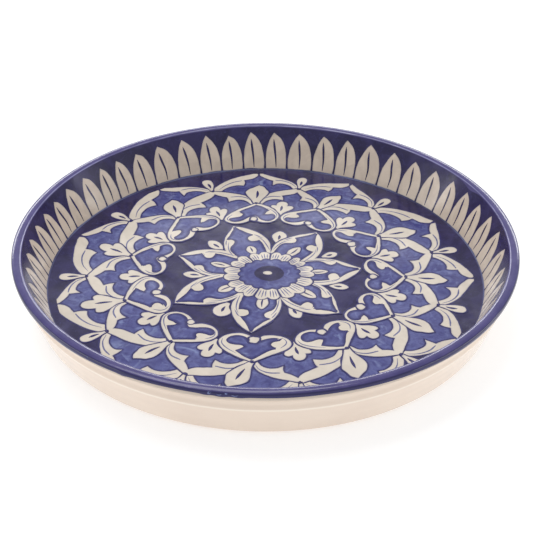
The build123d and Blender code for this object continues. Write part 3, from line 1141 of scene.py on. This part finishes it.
def lappets():
    """Outlines and midribs of the lappets on the unrolled wall."""
    places = lappet_places()
    places = [places[-1] + 360, *places, places[0] - 360]
    blades, ribs = [], []
    for k, (before, tip, behind) in enumerate(zip(places, places[1:], places[2:])):
        low = math.radians((tip + behind) / 2) * FLOOR_RADIUS + LAPPET_GAP / 2
        high = math.radians((tip + before) / 2) * FLOOR_RADIUS - LAPPET_GAP / 2
        wide, middle = high - low, (low + high) / 2
        apex = middle + 0.12 * wide + 0.8 * noise.noise(Vector((k * 1.7, 0, 0)))
        height = LAPPET_HEIGHT + 2.6 * noise.noise(Vector((k * 1.3, 5, 0)))
        lean = 0.8 * noise.noise(Vector((k * 2.1, 9, 0)))
        blades.append([(low + 0.2, 1.1, K), (low, 6), (low + 0.04 * wide, 12.4), (low + 0.15 * wide, 18.2),
                       (low + 0.34 * wide, 22.6), (apex, height, K), (apex + 0.13 * wide, height - 3.2),
                       (high - 0.13 * wide, 18.2), (high - 0.03 * wide, 12.4), (high, 6),
                       (high - 0.2, 1.1, K)])
        ribs.append([(middle, 1.9), (middle + lean, 9), (apex - 0.05 * wide, 16), (apex, 21.5)])
    return blades, ribs


lappet_blades, lappet_ribs = lappets()
painting("lappet_slip", on_hand(lappet_blades), 2, WALL_CREAM, 1.3, wall_place)
rib_strokes = veins(lappet_ribs, LAPPET_RIB_WIDTH, start=0.3, end=0.15, widest=0.74)
painting("lappet_ribs", rib_strokes, 3, GROUND, 1.3, wall_place)

# ---------------- flaws in the lip's glaze
# Each is the angle in degrees, its height over the glaze's lower edge, its length and its width.
LIP_FLAWS = [(-101, -1.3, 1.6, 1.4), (-99.2, -0.7, 2.6, 0.4), (-97.6, -1.4, 1.5, 0.9),
             (-96.3, -0.6, 3.4, 0.35), (-150.5, -0.8, 1.4, 0.8), (-128, -1, 1.2, 0.4)]


def lip_flaws():
    """A dab and short scrapes where the lip's glaze ran thin while it was wet."""
    specks = []
    for angle, height, length, width in LIP_FLAWS:
        x = math.radians(angle) * RIM_RADIUS
        line = [(x, height), (x + length / 2, height + 0.15 * length), (x + length, height)]
        specks.append(stroke(unsteady(line), width, start=0.6, end=0.2))
    return specks


painting("lip_flaws", lip_flaws(), 1, THIN_BLUE, 0.6, lip_place)

# ---------------- studio: floor, light, camera
CAMERA_DISTANCE = 0.7244
CAMERA_HEIGHT_ANGLE = 33.70
CAMERA_TILT_UP = 0.363
CAMERA_TURN = -0.058
LENS = 79.95
FLOOR_GLOW = 0.6


def add_floor():
    bpy.ops.mesh.primitive_plane_add(size=8, location=(0, 0, -0.0003))
    floor = bpy.context.object
    floor.name = "studio_floor"
    r = Recipe("studio_floor_paint")
    tone = r.remap(r.noise(300, 2), 0.3, 0.7)
    r.shader.inputs["Emission Color"].default_value = (1, 1, 1, 1)
    r.shader.inputs["Emission Strength"].default_value = FLOOR_GLOW
    colour = r.blend(tone, (0.45, 0.45, 0.45, 1), (0.48, 0.48, 0.48, 1))
    floor.data.materials.append(r.finish(colour, 0.8, r.bump(r.noise(2, 2), 0.02)))


def add_light(name, location, target, size, power):
    light = bpy.data.lights.new(name, "AREA")
    light.shape = "RECTANGLE"
    light.size, light.size_y = size
    light.energy = power
    lamp = bpy.data.objects.new(name, light)
    lamp.location = location
    lamp.rotation_euler = (Vector(target) - Vector(location)).to_track_quat("-Z", "Y").to_euler()
    bpy.context.scene.collection.objects.link(lamp)


def add_camera():
    camera = bpy.data.objects.new("photo_camera", bpy.data.cameras.new("photo_camera"))
    camera.data.lens = LENS
    rise = math.radians(CAMERA_HEIGHT_ANGLE)
    camera.location = (0, -CAMERA_DISTANCE * math.cos(rise),
                       FLOOR_HEIGHT * MM + CAMERA_DISTANCE * math.sin(rise))
    camera.rotation_euler = (math.radians(90 - CAMERA_HEIGHT_ANGLE + CAMERA_TILT_UP), 0,
                             math.radians(CAMERA_TURN))
    bpy.context.scene.collection.objects.link(camera)
    bpy.context.scene.camera = camera


add_floor()
add_light("top_softbox", (-0.2, 0.3, 1.3), (0, 0, 0), (1.0, 0.6), 7.6)
add_light("left_softbox", (-1.3, -0.2, 0.1), (0, 0, 0.02), (1.2, 0.25), 4.5)
add_light("right_softbox", (1.3, -0.2, 0.1), (0, 0, 0.02), (1.2, 0.25), 4.5)
add_light("back_softbox", (0, 1.5, 0.62), (0, 0, 0), (2.6, 0.22), 12)
world = bpy.data.worlds.new("studio_air")
world.use_nodes = True
world.node_tree.nodes["Background"].inputs["Color"].default_value = (0.95, 0.97, 1.0, 1)
world.node_tree.nodes["Background"].inputs["Strength"].default_value = 0.7
bpy.context.scene.world = world
bpy.context.scene.view_settings.view_transform = "Standard"
add_camera()
